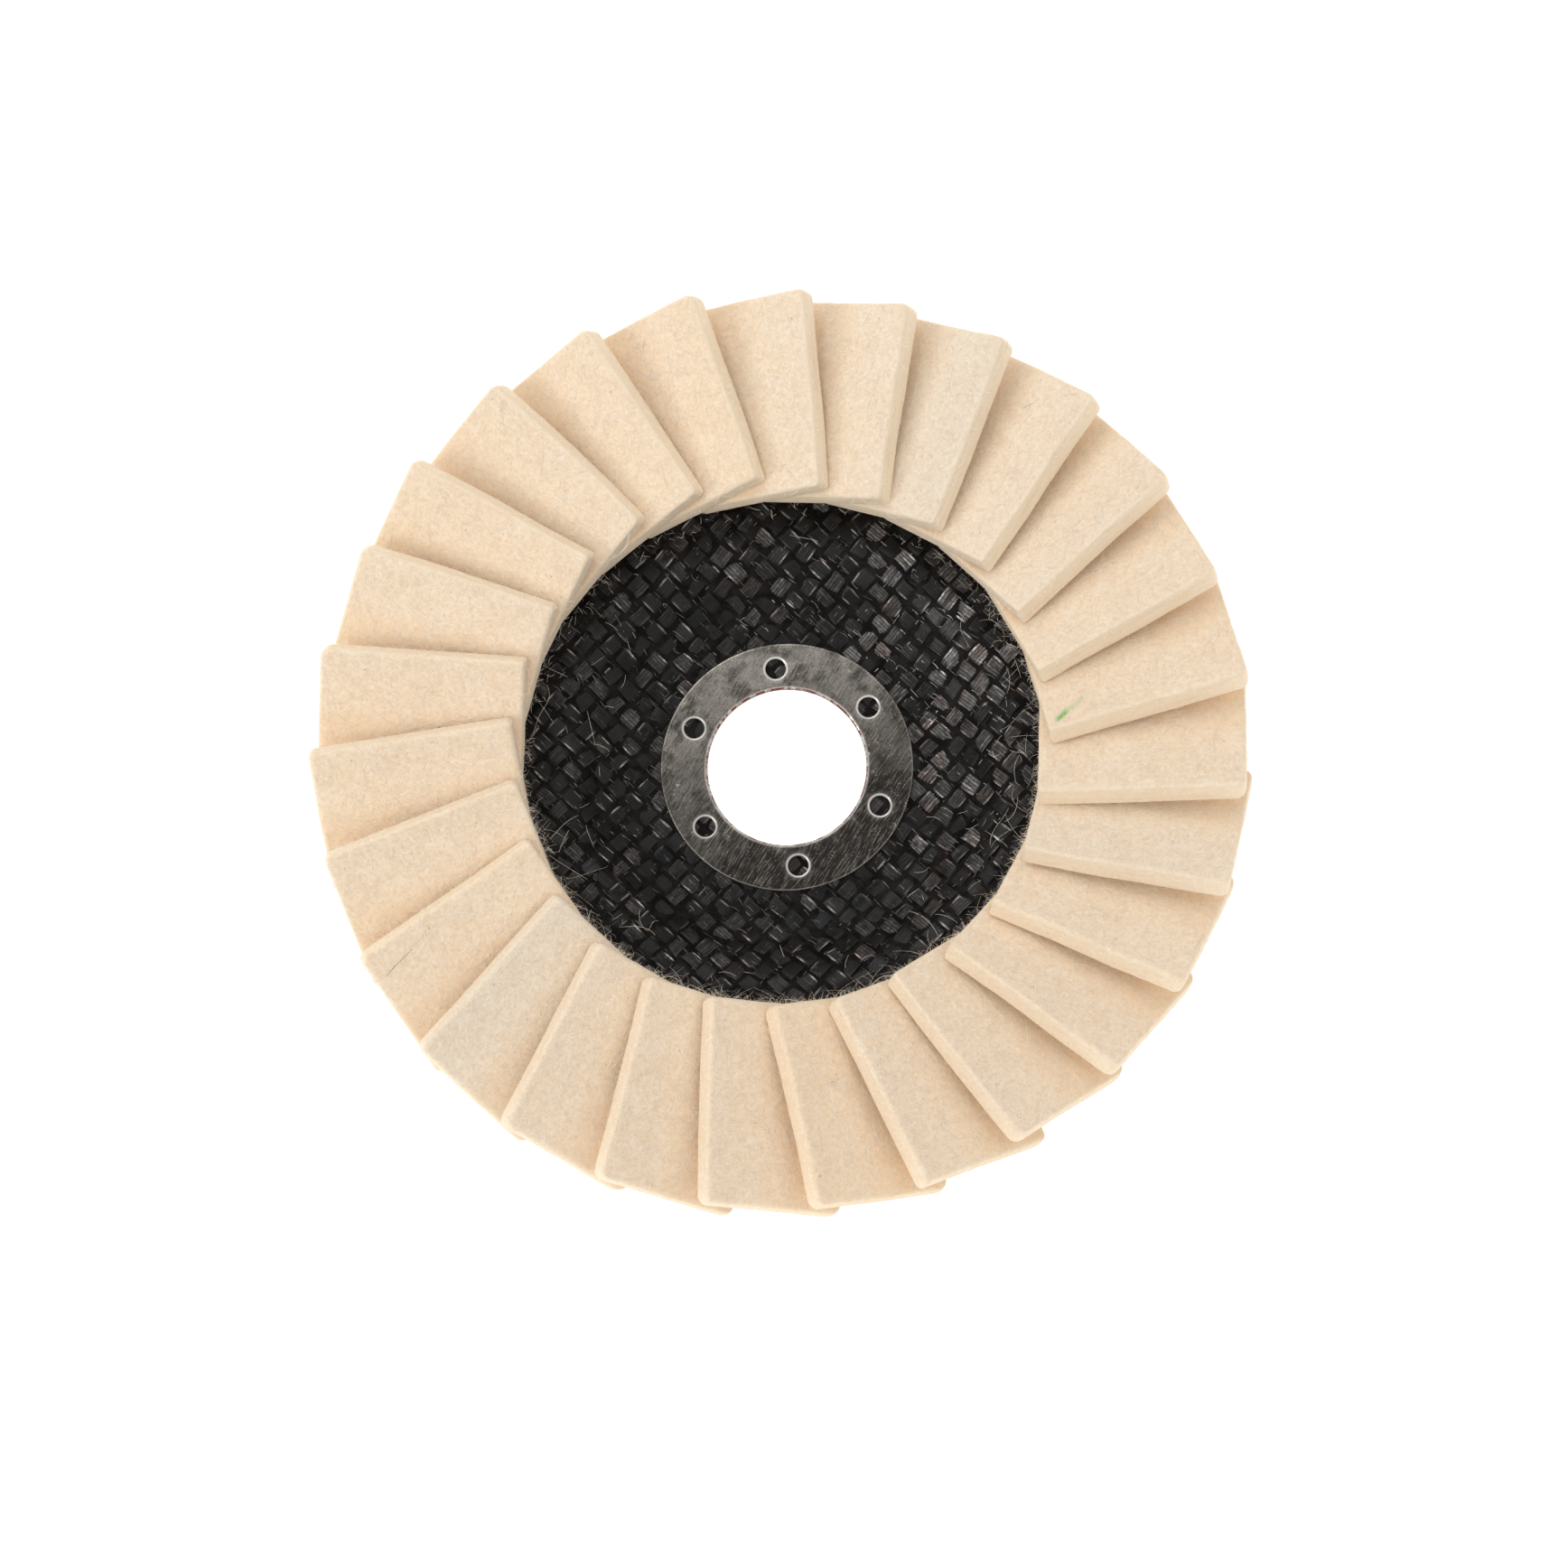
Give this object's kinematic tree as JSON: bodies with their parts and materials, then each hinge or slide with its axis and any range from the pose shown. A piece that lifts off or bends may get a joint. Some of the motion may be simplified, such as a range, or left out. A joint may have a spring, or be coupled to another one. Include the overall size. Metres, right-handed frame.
{
  "type": "felt flap polishing disc",
  "caption": "Dished backing plate with a steel-ringed arbor bore, ringed with overlapping wool felt flaps, for polishing on an angle grinder.",
  "frame": {"origin": "on the arbor bore's axis at the hub's back face, which sits on the grinder's flange", "axes": "+Z along the bore axis towards the working side, where the felt is"},
  "size_m": [0.1297, 0.1298, 0.0205],
  "materials": {
    "ring_steel": "brushed, with fine scratches and specks of rust",
    "woven_cloth": "black flat-yarn plain weave, filled with glossy resin",
    "glass_ply": "glass-fibre mesh in dark resin",
    "adhesive": "cured amber epoxy",
    "wool_felt": "pressed cream wool felt with loose fibres"
  },
  "bodies": {
    "root": {"arbor_ring": "ring_steel", "front_cloth": "woven_cloth", "glass_ply_front": "glass_ply", "glass_ply_middle": "glass_ply", "glass_ply_back": "glass_ply", "back_cloth": "woven_cloth", "adhesive_bed": "adhesive", "felt_flap_01": "wool_felt", "felt_flap_02": "wool_felt", "felt_flap_03": "wool_felt", "felt_flap_04": "wool_felt", "felt_flap_05": "wool_felt", "felt_flap_06": "wool_felt", "felt_flap_07": "wool_felt", "felt_flap_08": "wool_felt", "felt_flap_09": "wool_felt", "felt_flap_10": "wool_felt", "felt_flap_11": "wool_felt", "felt_flap_12": "wool_felt", "felt_flap_13": "wool_felt", "felt_flap_14": "wool_felt", "felt_flap_15": "wool_felt", "felt_flap_16": "wool_felt", "felt_flap_17": "wool_felt", "felt_flap_18": "wool_felt", "felt_flap_19": "wool_felt", "felt_flap_20": "wool_felt", "felt_flap_21": "wool_felt", "felt_flap_22": "wool_felt", "felt_flap_23": "wool_felt", "felt_flap_24": "wool_felt", "felt_flap_25": "wool_felt", "felt_flap_26": "wool_felt", "felt_flap_27": "wool_felt"}
  },
  "joints": []
}
